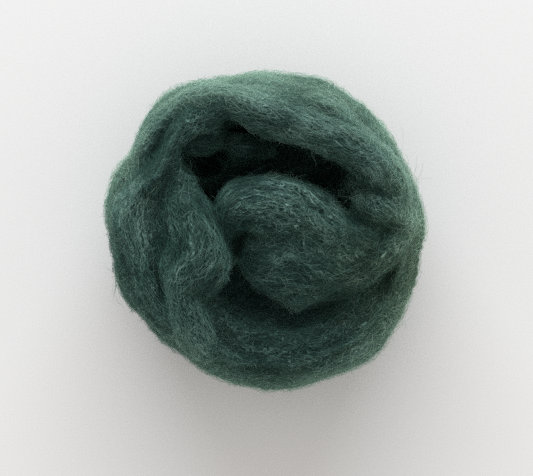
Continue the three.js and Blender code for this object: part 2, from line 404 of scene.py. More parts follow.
# Broad patches of lighter and darker skin, and of cooler and warmer. Scales are for each metre.
TONE_PATCHES = {"scale": 110, "detail": 3, "noise": (0.3, 0.7), "tone": (0.6, 1.3)}
WARM_PATCHES = {"scale": 30, "detail": 1, "warmth": 0.4}
BUMP_STRENGTH = 0.7
BUMP_HEIGHT = 0.4         # how far the painted fibres seem to stand off the skin, in millimetres

# Greens from the dark between fibres to a lit fibre: position, colour.
COOL_GREENS = [
    (0.0, (0.0015, 0.005, 0.0055)),
    (0.35, (0.0185, 0.052, 0.048)),
    (0.7, (0.086, 0.172, 0.161)),
    (0.85, (0.186, 0.330, 0.300)),
    (1.0, (0.380, 0.620, 0.540)),
]
WARM_GREENS = [
    (0.0, (0.002, 0.005, 0.003)),
    (0.35, (0.026, 0.051, 0.032)),
    (0.7, (0.099, 0.157, 0.098)),
    (0.85, (0.208, 0.300, 0.212)),
    (1.0, (0.420, 0.580, 0.420)),
]

# The soft, dry gloss of wool.
SKIN_GLOSS = 0.05
FIBRE_GLOSS = 0.2
FINISH = {
    "Roughness": 0.75,
    "Sheen Weight": 0.3,
    "Sheen Roughness": 0.35,
    "Sheen Tint": (0.30, 0.80, 0.62, 1),
}

# The studio, in metres.
FLOOR_REACH = 1.5
FLOOR_COLOUR = (0.85, 0.85, 0.85)
FLOOR_ROUGHNESS = 0.9
WORLD_COLOUR = (1.0, 0.96, 0.93)
WORLD_LIGHT = 0.65
LAMPS = {
    "window": {
        "place": (-0.05, 1.9, 1.05), "aim": (0, 0, 0.04), "width": 2.4, "height": 1.1,
        "power": 48.0, "colour": (0.92, 0.96, 1.0),
    },
}


def smooth_through(knots, shares):
    """The centripetal Catmull-Rom curve through rows of knots, at shares from 0 to 1 of the way along them.

    Between knots b and c it is the cubic that has their values there, and as slopes the centripetal ones,
    which weigh the steps from a to b, b to c and c to d by the square roots of their lengths. Beyond each end
    lies a mirrored knot.
    """
    knots = np.asarray(knots, float)
    beyond = np.vstack([2 * knots[0] - knots[1], knots, 2 * knots[-1] - knots[-2]])
    place = np.asarray(shares) * (len(knots) - 1)
    first = np.clip(place.astype(int), 0, len(knots) - 2)
    part = (place - first)[..., None]
    a, b, c, d = (beyond[first + k] for k in range(4))

    def gap(p, q):
        return np.sum((q - p) ** 2, -1, keepdims=True) ** 0.25

    least = 1e-4
    bc = np.where(gap(b, c) < least, 1, gap(b, c))
    ab = np.where(gap(a, b) < least, bc, gap(a, b))
    cd = np.where(gap(c, d) < least, bc, gap(c, d))
    leaving = ((b - a) / ab - (c - a) / (ab + bc) + (c - b) / bc) * bc
    arriving = ((c - b) / bc - (d - b) / (bc + cd) + (d - c) / cd) * bc
    square = 3 * (c - b) - 2 * leaving - arriving
    cube = 2 * (b - c) + leaving + arriving
    return b + part * (leaving + part * (square + part * cube))


def outline_reach(bearing, share=1):
    """How far out the outline lies at bearings in degrees: the radius, plus a bell curve for each swell."""
    reach = BALL_RADIUS
    for peak, swell, spread in OUTLINE_SWELLS:
        away = (bearing - peak + 180) % 360 - 180
        reach = reach + share * swell * np.exp(-((away / spread) ** 2))
    return reach


def nest_reach(angle):
    """How far the nest's rim lies from the middle along an angle: where that ray leaves the nest's circle."""
    nest = HOLLOWS["nest"]
    toward = nest["x"] * np.cos(angle) + nest["y"] * np.sin(angle)
    aside = nest["x"] * np.sin(angle) - nest["y"] * np.cos(angle)
    return toward + np.sqrt(nest["radius"] ** 2 - aside**2)


def normalised(vectors):
    """Vectors scaled to length 1."""
    return vectors / np.maximum(np.linalg.norm(vectors, axis=-1, keepdims=True), 1e-12)


def strip_frames(rows, shares):
    """Centres, tangents, sides, rises and half sizes of a strip at shares of its path.

    The side is level, across the path, and the rise stands square to both.
    """
    rows = np.asarray(rows, float)
    nudge = 1e-4
    centre = smooth_through(rows[:, :3], shares)
    ahead = smooth_through(rows[:, :3], np.minimum(shares + nudge, 1))
    behind = smooth_through(rows[:, :3], np.maximum(shares - nudge, 0))
    tangent = normalised(ahead - behind)
    side = normalised(np.cross((0.0, 0.0, 1.0), tangent))
    rise = np.cross(tangent, side)
    size = smooth_through(rows[:, 3:5], shares)
    return centre, tangent, side, rise, size


def side_rows(rows):
    """A wrap's rows drawn more closely, with their bearings and insets turned into places."""
    rows = np.asarray(rows, float)
    shares = np.linspace(0, 1, SIDE_STATIONS)
    bearing, inset, z = smooth_through(rows[:, :3], shares).T
    radius = outline_reach(bearing) - inset
    angle = np.radians(bearing)
    places = np.stack([radius * np.cos(angle), radius * np.sin(angle), z], -1)
    return np.hstack([places, smooth_through(rows[:, 3:5], shares)])


def fold_surface(rows):
    """A fold's surface over polar from 0 to pi and turn from 0 to 2 pi.

    The centre lies at the share (1 - cos(polar)) / 2 of the path. The point is the centre plus the side times
    wide * girth * cos(turn) plus the rise times high * girth * sin(turn), and the girth is
    sin(polar) ** bluntness.
    """
    polar = np.linspace(0, np.pi, FOLD_STEPS + 1)
    turn = np.linspace(0, 2 * np.pi, FOLD_SIDES, endpoint=False)
    centre, _, side, rise, size = strip_frames(rows, (1 - np.cos(polar)) / 2)
    girth = np.abs(np.sin(polar)) ** END_BLUNTNESS
    across = (size[:, 0] * girth)[:, None] * np.cos(turn)
    upward = (size[:, 1] * girth)[:, None] * np.sin(turn)
    grid = centre[:, None] + side[:, None] * across[..., None] + rise[:, None] * upward[..., None]
    return closed_ends(grid)


def ring_quads(rings, sides):
    """Quads between neighbouring rings of points, where point s of ring r has the number r * sides + s."""
    ring, side = np.meshgrid(np.arange(rings - 1), np.arange(sides), indexing="ij")
    low = ring * sides
    beside = (side + 1) % sides
    return np.stack([low + side, low + beside, low + sides + beside, low + sides + side], -1).reshape(-1, 4)


def closed_ends(grid):
    """Points, quads and end triangles of rings of points, of which the first and last are one point each."""
    rings, sides = grid.shape[:2]
    points = np.vstack([grid[0, :1], grid[1:-1].reshape(-1, 3), grid[-1, :1]])
    here = np.arange(1, sides + 1)
    beside = here % sides + 1
    last = (rings - 3) * sides
    top = np.stack([here, 0 * here, beside], -1)
    bottom = np.stack([last + beside, 0 * here + len(points) - 1, last + here], -1)
    return points, 1 + ring_quads(rings - 2, sides), np.vstack([top, bottom])


def turn_sections(angle, turn):
    """The radius, height and half width of an outer turn's section at angles round the ball.

    It spans from a share of the nest's reach to the outline less the inset, and its height is the middle less
    dip * cos(angle - dip bearing).
    """
    outer = outline_reach(np.degrees(angle), turn["swell"]) - turn["inset"]
    inner = turn["inner_share"] * nest_reach(angle)
    radius = (outer + inner) / 2
    height = turn["middle"] - turn["dip"] * np.cos(angle - math.radians(turn["dip_bearing"]))
    return radius, height, (outer - inner) / 2


def turn_surface(turn):
    """An outer turn: at each angle an oval, from the outline's inset to a share of the nest's reach."""
    angle = np.linspace(0, 2 * np.pi, TURN_STEPS, endpoint=False)[:, None]
    around = np.linspace(0, 2 * np.pi, TURN_SIDES, endpoint=False)[None]
    radius, height, half_width = turn_sections(angle, turn)
    reach = radius + half_width * np.cos(around)
    z = height + turn["high"] * np.sin(around)
    points = np.stack([reach * np.cos(angle), reach * np.sin(angle), z], -1).reshape(-1, 3)
    quads = ring_quads(TURN_STEPS + 1, TURN_SIDES) % len(points)
    return points, quads[:, [0, 3, 2, 1]], np.zeros((0, 3), int)


def core_surface():
    """The wool inside the turns: a flattened round whose lowest part reaches below the floor."""
    polar = np.linspace(0, np.pi, FOLD_STEPS + 1)[:, None]
    angle = np.linspace(0, 2 * np.pi, FOLD_SIDES, endpoint=False)[None]
    half = (CORE_TOP + FLAT_DEPTH) / 2
    reach = CORE_RADIUS * np.sin(polar)
    z = half - FLAT_DEPTH - half * np.cos(polar)
    grid = np.stack([reach * np.cos(angle), reach * np.sin(angle), z + 0 * angle], -1)
    points, quads, ends = closed_ends(grid)
    return points, quads[:, ::-1], ends[:, ::-1]


def pressed_into(points, hollow):
    """Points with those above a hollow's bowl lowered to it.

    At a share r of its radius the bowl lies (brim - floor) * sqrt(1 - r ** (2 / steepness)) below its brim.
    """
    away = np.hypot(points[:, 0] - hollow["x"], points[:, 1] - hollow["y"]) / hollow["radius"]
    depth = np.sqrt(np.maximum(0, 1 - away ** (2 / WALL_STEEPNESS)))
    bowl = np.where(away < 1, hollow["brim"] - (hollow["brim"] - hollow["floor"]) * depth, np.inf)
    pressed = points.copy()
    pressed[:, 2] = np.minimum(points[:, 2], bowl)
    return pressed


def soft_noise(places, seed):
    """Smooth noise from -1 to 1: random values on a lattice of unit cells, blended between cell corners."""
    lattice = np.random.default_rng(seed).uniform(-1, 1, (NOISE_LATTICE,) * 3)
    cell = np.floor(places).astype(int)
    part = places - cell
    part = part * part * (3 - 2 * part)
    total = np.zeros(places.shape[:-1])
    for corner in itertools.product((0, 1), repeat=3):
        weight = np.prod(np.where(np.array(corner, bool), part, 1 - part), -1)
        total += weight * lattice[tuple(np.moveaxis((cell + corner) % NOISE_LATTICE, -1, 0))]
    return total


def mesh_of(name, points, quads=(), triangles=()):
    """A mesh from whole arrays of points, quads and triangles, shaded smooth."""
    mesh = bpy.data.meshes.new(name)
    quads = np.asarray(quads, int).reshape(-1, 4)
    triangles = np.asarray(triangles, int).reshape(-1, 3)
    corners = np.concatenate([quads.ravel(), triangles.ravel()])
    sizes = np.concatenate([np.full(len(quads), 4), np.full(len(triangles), 3)])
    mesh.vertices.add(len(points))
    mesh.vertices.foreach_set("co", np.asarray(points, np.float32).ravel())
    mesh.loops.add(len(corners))
    mesh.loops.foreach_set("vertex_index", corners.astype(np.int32))
    mesh.polygons.add(len(sizes))
    mesh.polygons.foreach_set("loop_start", (np.cumsum(sizes) - sizes).astype(np.int32))
    mesh.update(calc_edges=True)
    mesh.shade_smooth()
    return mesh


def shown(name, data):
    """An object in the scene that holds a mesh, a camera or a lamp."""
    thing = bpy.data.objects.new(name, data)
    bpy.context.scene.collection.objects.link(thing)
    return thing


def mark(mesh, name, values):
    """Gives the points of a mesh a named attribute of one number or of three."""
    kind, field = ("FLOAT", "value") if values.ndim == 1 else ("FLOAT_VECTOR", "vector")
    made = mesh.attributes.new(name, kind, "POINT")
    made.data.foreach_set(field, values.astype(np.float32).ravel())


def numbers(collection, field, width, kind=np.float32):
    """A field of a mesh's points or corners as rows of an array."""
    values = np.empty(len(collection) * width, kind)
    collection.foreach_get(field, values)
    return values.reshape(-1, width)


def applied(thing):
    """Points and quads of an object with its modifiers applied. The object is removed."""
    graph = bpy.context.evaluated_depsgraph_get()
    made = bpy.data.meshes.new_from_object(thing.evaluated_get(graph))
    points = numbers(made.vertices, "co", 3)
    quads = numbers(made.loops, "vertex_index", 1, np.int32).reshape(-1, 4)
    old = thing.data
    bpy.data.objects.remove(thing)
    bpy.data.meshes.remove(old)
    bpy.data.meshes.remove(made)
    return points, quads


def add_smoothing(thing, passes):
    """Adds a modifier that smooths an object in a number of passes."""
    smooth = thing.modifiers.new("smooth", "SMOOTH")
    smooth.factor = SMOOTHING
    smooth.iterations = passes


def joined(surfaces, voxel, rounding=0):
    """Points and quads of one skin round closed surfaces, made of voxels and rounded by smoothing passes."""
    starts = np.cumsum([0] + [len(points) for points, _, _ in surfaces])
    points = np.vstack([points for points, _, _ in surfaces])
    quads = np.vstack([quads + start for (_, quads, _), start in zip(surfaces, starts)])
    triangles = np.vstack([ends + start for (_, _, ends), start in zip(surfaces, starts)])
    thing = shown("joining", mesh_of("joining", points, quads, triangles))
    remesh = thing.modifiers.new("join", "REMESH")
    remesh.mode = "VOXEL"
    remesh.voxel_size = voxel
    if rounding:
        add_smoothing(thing, rounding)
    return applied(thing)


def ball_form():
    """The joined and rounded skin of the whole ball, in millimetres, as points and quads."""
    wraps = [fold_surface(side_rows(rows)) for rows in SIDE_WRAPS.values()]
    turns = [turn_surface(turn) for turn in OUTER_TURNS.values()]
    base, quads = joined([core_surface(), *turns, *wraps], UNION_VOXEL)
    for hollow in HOLLOWS.values():
        base = pressed_into(base, hollow)
    folds = [fold_surface(rows) for rows in FOLDS.values()]
    return joined([(base, quads, np.zeros((0, 3), int)), *folds], SKIN_VOXEL, SKIN_ROUNDING)


def strip_stations():
    """Stations along every strip: centres, tangents, sides, rises, half sizes, ways along and strip numbers.

    The way along is in millimetres, round the outer side of a turn and of the core, and along the middle of a
    wrap or fold.
    """
    tables = []
    angle = np.linspace(0, 2 * np.pi, 2 * PATH_STATIONS, endpoint=False)
    flat = np.zeros_like(angle)
    radial = np.stack([np.cos(angle), np.sin(angle), flat], -1)
    around = np.stack([-np.sin(angle), np.cos(angle), flat], -1)
    upward = np.stack([flat, flat, flat + 1], -1)
    for turn in OUTER_TURNS.values():
        radius, height, half_width = turn_sections(angle, turn)
        centre = radial * radius[:, None] + upward * height[:, None]
        size = np.stack([half_width, flat + turn["high"]], -1)
        tables.append((centre, around, radial, upward, size, angle * (radius + half_width)))
    half = (CORE_TOP + FLAT_DEPTH) / 2
    centre = radial * CORE_RADIUS / 2 + upward * (half - FLAT_DEPTH)
    size = np.stack([flat + CORE_RADIUS / 2, flat + half], -1)
    tables.append((centre, around, radial, upward, size, angle * CORE_RADIUS))
    shares = np.linspace(0, 1, PATH_STATIONS)
    for rows in [*map(side_rows, SIDE_WRAPS.values()), *FOLDS.values()]:
        centre, tangent, side, rise, size = strip_frames(rows, shares)
        steps = np.linalg.norm(np.diff(centre, axis=0), axis=1)
        tables.append((centre, tangent, side, rise, size, np.concatenate([[0], np.cumsum(steps)])))
    strip = np.concatenate([np.full(len(table[0]), k) for k, table in enumerate(tables)])
    return [np.concatenate(column) for column in zip(*tables)] + [strip]


def strip_places(points, stations):
    """The tangents of the strips that points on the skin lie on, their places there and how sure that is.

    A station's misfit is how far a point lies from its section: along the tangent, and from the oval of its
    half sizes. The best station gives the strip. The place is the way along, the way round the section and
    the strip's number, and the sureness is the difference to the best misfit on another strip.
    """
    centre, tangent, side, rise, size, way, strip = stations
    middling = size.mean(1)
    tangents, places, sureness = [], [], []
    for some in np.array_split(points, max(1, len(points) // POINTS_AT_ONCE)):
        away = some[:, None] - centre[None]
        along = np.einsum("psx,sx->ps", away, tangent)
        across = np.einsum("psx,sx->ps", away, side) / size[:, 0]
        upward = np.einsum("psx,sx->ps", away, rise) / size[:, 1]
        misfit = np.hypot(along, (np.hypot(across, upward) - 1) * middling)
        best = misfit.argmin(1)
        rows = np.arange(len(some))
        other = np.where(strip[None] == strip[best][:, None], np.inf, misfit).min(1)
        turn = np.arctan2(upward[rows, best], across[rows, best])
        tangents.append(tangent[best])
        places.append(np.stack([way[best] + along[rows, best], turn * middling[best], strip[best]], -1))
        sureness.append(other - misfit[rows, best])
    return np.vstack(tangents), np.vstack(places), np.concatenate(sureness)


def vertex_normals(points, quads):
    """Normals at points, from the sum of the quads' normals round each."""
    corners = points[quads]
    facing = np.cross(corners[:, 2] - corners[:, 0], corners[:, 3] - corners[:, 1])
    total = np.zeros_like(points)
    for corner in range(4):
        np.add.at(total, quads[:, corner], facing)
    return normalised(total)


def raised(points, quads, stations):
    """The skin, drawn in by its inset, with lumps, broad locks and finer ones raised on it.

    Each is smooth noise, of the place in space for the lumps, and of the way along and round the strip for
    the locks, which fade where two strips meet.
    """
    _, places, sureness = strip_places(points, stations)
    normals = vertex_normals(points, quads)
    lift = -SKIN_INSET + LUMP_HEIGHT * soft_noise(points / LUMP_SIZE, SEEDS["lumps"])
    fade = np.clip(sureness / LOCK_FADE, 0, 1)
    for (length, width, height), seed in zip(LOCKS, itertools.count(SEEDS["locks"])):
        lock = soft_noise(places / (length, width, 1) + seed, seed)
        lift += fade * height * lock
    moved = points + normals * lift[:, None]
    moved[:, 2] = np.maximum(moved[:, 2], 0)
    return moved


def skin_samples(skin, kind, source):
    """Where a kind's fibres root: each in a triangle of the skin drawn by area times chance, evenly inside.

    Half of a quad is a triangle of corners 0, 1 and 2 or of 0, 2 and 3. A place is the sum of the corners
    times the weights 1 - root, root * (1 - second) and root * second, where root is the square root of the
    first random number, and so are its normal, tangent and state.
    """
    quads = skin["quads"]
    triangles = np.vstack([quads[:, [0, 1, 2]], quads[:, [0, 2, 3]]])
    a, b, c = (skin["points"][triangles[:, k]] for k in range(3))
    area = np.linalg.norm(np.cross(b - a, c - a), axis=1)
    share = area * skin["chances"][kind["chances"]][triangles].mean(1)
    drawn = source.choice(len(triangles), kind["count"], p=share / share.sum())
    first, second = source.random((2, kind["count"], 1))
    root = np.sqrt(first)
    weights = np.concatenate([1 - root, root * (1 - second), root * second], 1)[..., None]
    corners = triangles[drawn]
    fields = ("points", "normals", "tangents", "state")
    return [np.sum(skin[field][corners] * weights, 1) for field in fields]


def onto_skin(points, skin, lift):
    """The nearest places on a skin to some points, lifted off it along its normals."""
    cloud = shown("cloud", mesh_of("cloud", points.reshape(-1, 3)))
    wrap = cloud.modifiers.new("wrap", "SHRINKWRAP")
    wrap.target = skin["object"]
    wrap.wrap_method = "NEAREST_SURFACEPOINT"
    wrap.wrap_mode = "ABOVE_SURFACE"
    wrap.offset = lift
    places, _ = applied(cloud)
    return places.astype(float).reshape(points.shape)


def turned_in_skin(tangents, normals, angles):
    """Tangents made square to their normals and turned by angles about them, and the sides square to both."""
    level = normalised(tangents - normals * np.sum(tangents * normals, 1, keepdims=True))
    side = np.cross(normals, level)
    cos, sin = np.cos(angles)[:, None], np.sin(angles)[:, None]
    return level * cos + side * sin, side * cos - level * sin


def centred_sum(steps):
    """Places along each row: the running sum of the means of neighbouring steps, less the row's mean."""
    places = np.cumsum((steps[:, 1:] + steps[:, :-1]) / 2, 1)
    places = np.hstack([np.zeros((len(steps), 1)), places])
    return places - places.mean(1, keepdims=True)


def strand_paths(skin, kind, source):
    """Centre lines of crimped strands that lie on the skin.

    A strand's heading in the skin turns by its bend for each millimetre, and its line is the running sum of
    the heading. The crimp moves it aside by reach * sin(2 pi * way / wavelength + phase), and strands that
    root close together crimp almost in step. The line is then wrapped on to the skin and lifted by a low arch
    that dips in at both ends.
    """
    count = kind["count"]
    roots, normals, tangents, state = skin_samples(skin, kind, source)
    sweep = kind["sweep"] * soft_noise(roots / SWEEP_SIZE, SEEDS["sweep"])
    angles = np.radians(source.normal(0, kind["stray"], count) + sweep)
    ahead, side = turned_in_skin(tangents, normals, angles)
    length = source.uniform(*kind["length"], count)[:, None]
    share = np.linspace(-0.5, 0.5, kind["rings"])
    way = length * share
    wave = source.uniform(*kind["wave"], count)[:, None]
    lock = soft_noise(roots / CRIMP_LOCK, SEEDS["crimp"]) + CRIMP_SPREAD * source.normal(size=count)
    phase = CRIMP_STEP * np.pi * lock[:, None]
    reach = source.uniform(*kind["crimp"], count)[:, None]
    turned = 2 * np.pi * way / wave + phase
    bend = np.radians(source.normal(0, kind["bend"], count))[:, None] * way
    step = length / (kind["rings"] - 1)
    forward = centred_sum(np.cos(bend) * step)
    sideways = centred_sum(np.sin(bend) * step) + reach * np.sin(turned)
    drawn = roots[:, None] + ahead[:, None] * forward[..., None] + side[:, None] * sideways[..., None]
    low = onto_skin(drawn, skin, 0)
    up = normalised(onto_skin(drawn, skin, WRAP_PROBE) - low)
    top = (source.uniform(*kind["lift"], count) * (1 + LOOSE_LIFT * state[:, 1]))[:, None]
    arch = top * (1 - (2 * share) ** 2) - kind["dip"] * (2 * share) ** 4 + CRIMP_RISE * reach * np.cos(turned)
    return low + up * arch[..., None], up[:, len(share) // 2], state


def fuzz_paths(skin, kind, source):
    """Centre lines of loose fibres that stand off the skin: arcs that leave it at an angle and curl over.

    Each is the root plus the running sum of a heading, which turns from its first lean towards the skin, and
    aside by its sway, at an even rate. A wave of the crimp goes across it.
    """
    count = kind["count"]
    roots, normals, tangents, state = skin_samples(skin, kind, source)
    angles = np.radians(source.uniform(-180, 180, count) * source.random(count) ** ALONG_STRIP)
    ahead, side = turned_in_skin(tangents, normals, angles)
    length = source.uniform(*kind["length"], count) * source.uniform(SHORTEST, 1, count)
    rings = kind["rings"]
    share = np.linspace(0, 1, rings)
    first_lean = np.radians(source.uniform(*kind["lean"], count))[:, None]
    lean = first_lean - np.radians(source.uniform(*kind["curl"], count))[:, None] * share
    sway = np.radians(source.normal(0, kind["sway"], count))[:, None] * share
    onward = (np.cos(lean) * np.cos(sway))[..., None]
    aside = (np.cos(lean) * np.sin(sway))[..., None]
    heading = ahead[:, None] * onward + side[:, None] * aside + normals[:, None] * np.sin(lean)[..., None]
    step = (length / (rings - 1))[:, None, None]
    path = roots[:, None] + np.cumsum(heading, 1) * step - heading[:, :1] * step
    wave = source.uniform(*kind["wave"], count)[:, None]
    phase = source.uniform(0, 2 * np.pi, count)[:, None]
    reach = source.uniform(*kind["crimp"], count)[:, None]
    crimp = reach * np.sin(2 * np.pi * length[:, None] * share / wave + phase) * np.minimum(1, 4 * share)
    path = path + side[:, None] * crimp[..., None] - normals[:, None] * kind["dip"]
    return path, normals, state


def tube_mesh(name, paths, normals, widths, taper):
    """Closed tubes along paths: three-sided sections of radius width / 2 * girth, with a point at each end.

    The girth is sin(pi * share) ** taper, and corner k of a section is the path's point + radius *
    (side * cos(2 pi * k / 3) + up * sin(2 pi * k / 3)). Each tube has a cell of its own in the UV map.
    """
    count, rings = paths.shape[:2]
    tangent = normalised(np.gradient(paths, axis=1))
    side = normalised(np.cross(tangent, normals[:, None]))
    up = np.cross(tangent, side)
    girth = np.sin(np.pi * np.linspace(*TAPER_ENDS, rings)) ** taper
    radius = widths[:, None] / 2 * girth
    angle = 2 * np.pi * np.arange(FIBRE_SIDES) / FIBRE_SIDES
    section = side[:, :, None] * np.cos(angle)[:, None] + up[:, :, None] * np.sin(angle)[:, None]
    body = (paths[:, :, None] + section * radius[..., None, None])[:, 1:-1]
    points = np.concatenate([body.reshape(count, -1, 3), paths[:, :1], paths[:, -1:]], 1)
    each = points.shape[1]
    inner = rings - 2
    here = np.arange(FIBRE_SIDES)
    beside = (here + 1) % FIBRE_SIDES
    last = (inner - 1) * FIBRE_SIDES
    start = np.stack([0 * here + each - 2, beside, here], -1)
    end = np.stack([last + here, last + beside, 0 * here + each - 1], -1)
    shift = np.arange(count)[:, None, None] * each
    all_quads = (ring_quads(inner, FIBRE_SIDES)[None] + shift).reshape(-1, 4)
    all_ends = (np.vstack([start, end])[None] + shift).reshape(-1, 3)
    mesh = mesh_of(name, points.reshape(-1, 3) * MM, all_quads, all_ends)
    add_cells(mesh, count, inner)
    return mesh


def add_cells(mesh, count, inner):
    """A UV map that gives each tube its own cell of an even grid, unrolled along the cell."""
    ring, corner = np.meshgrid(np.arange(inner - 1), np.arange(FIBRE_SIDES), indexing="ij")
    low = np.stack([corner, ring + 1], -1).reshape(-1, 2)
    quads = np.stack([low, low + (1, 0), low + (1, 1), low + (0, 1)], 1)
    foot = np.stack([np.arange(FIBRE_SIDES), np.zeros(FIBRE_SIDES)], -1)
    start = np.stack([foot + (0.5, 0), foot + (1, 1), foot + (0, 1)], 1)
    end = np.stack([foot + (0, inner), foot + (1, inner), foot + (0.5, inner + 1)], 1)
    across = int(np.ceil(np.sqrt(count)))
    cell = np.stack(np.divmod(np.arange(count), across), -1)[:, None, None]
    corners = []
    for faces in (quads, np.concatenate([start, end])):
        inside = CELL_MARGIN + (1 - 2 * CELL_MARGIN) * faces / (FIBRE_SIDES, inner + 1)
        corners.append(((cell + inside) / across).reshape(-1, 2))
    layer = mesh.uv_layers.new(name="OFBake")
    layer.uv.foreach_set("vector", np.vstack(corners).astype(np.float32).ravel())


def put(tree, kind, settings=(), inputs=()):
    """A node of a kind in a tree, with its settings, and with its inputs linked or set."""
    made = tree.nodes.new(kind)
    for field, value in dict(settings).items():
        setattr(made, field, value)
    for socket, value in dict(inputs).items():
        if isinstance(value, bpy.types.NodeSocket):
            tree.links.new(value, made.inputs[socket])
        else:
            made.inputs[socket].default_value = value
    return made


def maths(tree, operation, first, second=0.0, third=0.0):
    """The output of a Math node."""
    inputs = {0: first, 1: second, 2: third}
    return put(tree, "ShaderNodeMath", {"operation": operation}, inputs).outputs[0]


def noise(tree, place, scale, detail):
    """The outputs of a Noise Texture, a number and a colour."""
    return put(tree, "ShaderNodeTexNoise", inputs={"Vector": place, "Scale": scale, "Detail": detail}).outputs


def mapped(tree, value, span, target):
    """A value's range mapped evenly on to a target range, and held inside it."""
    inputs = {0: value, 1: span[0], 2: span[1], 3: target[0], 4: target[1]}
    return put(tree, "ShaderNodeMapRange", inputs=inputs).outputs[0]


def split(tree, vector):
    """The three parts of a vector."""
    return put(tree, "ShaderNodeSeparateXYZ", inputs={0: vector}).outputs


def combined(tree, x, y, z):
    """A vector of three parts."""
    return put(tree, "ShaderNodeCombineXYZ", inputs={0: x, 1: y, 2: z}).outputs[0]


def attribute(tree, name):
    """The outputs of a named attribute, of which Fac is a number and Vector a vector."""
    return put(tree, "ShaderNodeAttribute", {"attribute_name": name}).outputs


def new_group(name, inputs, outputs):
    """A shader node group with named inputs and outputs, and the sockets that bring them in and out."""
    group = bpy.data.node_groups.new(name, "ShaderNodeTree")
    for side, sockets in (("INPUT", inputs), ("OUTPUT", outputs)):
        for label, kind in sockets.items():
            group.interface.new_socket(label, in_out=side, socket_type=f"NodeSocket{kind}")
    return group, group.nodes.new("NodeGroupInput").outputs, group.nodes.new("NodeGroupOutput").inputs


def ramp(tree, factor, stops):
    """The colour of a ramp at a factor. Stops are (position, colour)."""
    made = put(tree, "ShaderNodeValToRGB", inputs={"Fac": factor})
    elements = made.color_ramp.elements
    while len(elements) < len(stops):
        elements.new(0.5)
    for element, (position, colour) in zip(elements, stops):
        element.position = position
        element.color = (*colour, 1)
    return made.outputs["Color"]


def dye_group():
    """The dyed wool: Shade runs from the dark between fibres to a lit fibre, and Warmth towards olive."""
    group, given, made = new_group("wool_dye", {"Shade": "Float", "Warmth": "Float"}, {"Color": "Color"})
    cool = ramp(group, given["Shade"], COOL_GREENS)
    warm = ramp(group, given["Shade"], WARM_GREENS)
    mix = put(group, "ShaderNodeMix", {"data_type": "RGBA"}, {0: given["Warmth"], 6: cool, 7: warm})
    group.links.new(mix.outputs[2], made["Color"])
    return group


def fibre_layer_group():
    """Long crimped fibres along a strip, drawn as contour lines of smooth noise that is stretched along it.

    The place (way, round) is turned by Angle, drifts by slow noise and waves with the crimp. Then lines =
    LINES_A_CELL * noise(way / Length, round / Width), each whole number of lines is a fibre with a tone of
    its own, and Height falls from the fibre's middle to its edge. Short gaps break each fibre along its way.
    """
    inputs = {"Lay": "Vector", "Angle": "Float", "Length": "Float", "Width": "Float", "Seed": "Float"}
    group, given, made = new_group("fibre_layer", inputs, {"Height": "Float"})
    turned = put(group, "ShaderNodeVectorRotate", {"rotation_type": "Z_AXIS"},
                 {"Vector": given["Lay"], "Angle": given["Angle"]}).outputs[0]
    way, across, strip = split(group, turned)
    offset = maths(group, "MULTIPLY_ADD", strip, STRIP_OFFSET, given["Seed"])
    place = combined(group, way, across, offset)
    drift = noise(group, place, 1 / DRIFT_SIZE, 1)["Color"]
    moved = put(group, "ShaderNodeVectorMath", {"operation": "MULTIPLY_ADD"},
                {0: drift, 1: (DRIFT_REACH,) * 3, 2: place}).outputs[0]
    way, across, _ = split(group, moved)
    steps = drawn_out_noise(group, way, across, offset, *CRIMP_LOCK_SIZE)
    waves = maths(group, "MULTIPLY", way, 2 * math.pi / CRIMP_WAVE)
    turn = maths(group, "MULTIPLY_ADD", steps, CRIMP_TURNS, waves)
    across = maths(group, "MULTIPLY_ADD", maths(group, "SINE", turn), CRIMP_REACH, across)
    contours = drawn_out_noise(group, way, across, offset, given["Length"], given["Width"])
    lines = maths(group, "MULTIPLY", contours, LINES_A_CELL)
    away = maths(group, "ABSOLUTE", maths(group, "SUBTRACT", maths(group, "FRACT", lines), 0.5))
    line = mapped(group, away, (0, LINE_HALF_WIDTH), (1, 0))
    number = maths(group, "ADD", maths(group, "FLOOR", lines), offset)
    tone = put(group, "ShaderNodeTexWhiteNoise", {"noise_dimensions": "1D"}, {"W": number}).outputs["Value"]
    tone = maths(group, "MULTIPLY_ADD", tone, 1 - DIMMEST_TONE, DIMMEST_TONE)
    gaps = drawn_out_noise(group, way, across, maths(group, "ADD", offset, GAP_SEED), *GAP_SIZE)
    broken = mapped(group, gaps, GAP_EDGES, (GAP_HEIGHT, 1))
    height = maths(group, "MULTIPLY", maths(group, "MULTIPLY", line, broken), tone)
    group.links.new(height, made["Height"])
    return group


def drawn_out_noise(tree, way, across, offset, length, width):
    """Smooth noise of (way / length, across / width, offset)."""
    place = combined(tree, maths(tree, "DIVIDE", way, length), maths(tree, "DIVIDE", across, width), offset)
    return noise(tree, place, 1, 0)[0]


def new_material(name):
    """A material and its tree, with a Principled shader on its output."""
    material = bpy.data.materials.new(name)
    material.use_nodes = True
    tree = material.node_tree
    return material, tree, tree.nodes["Principled BSDF"].inputs


def placed(tree, group, inputs):
    """The outputs of a group placed in a tree."""
    return put(tree, "ShaderNodeGroup", {"node_tree": group}, inputs).outputs


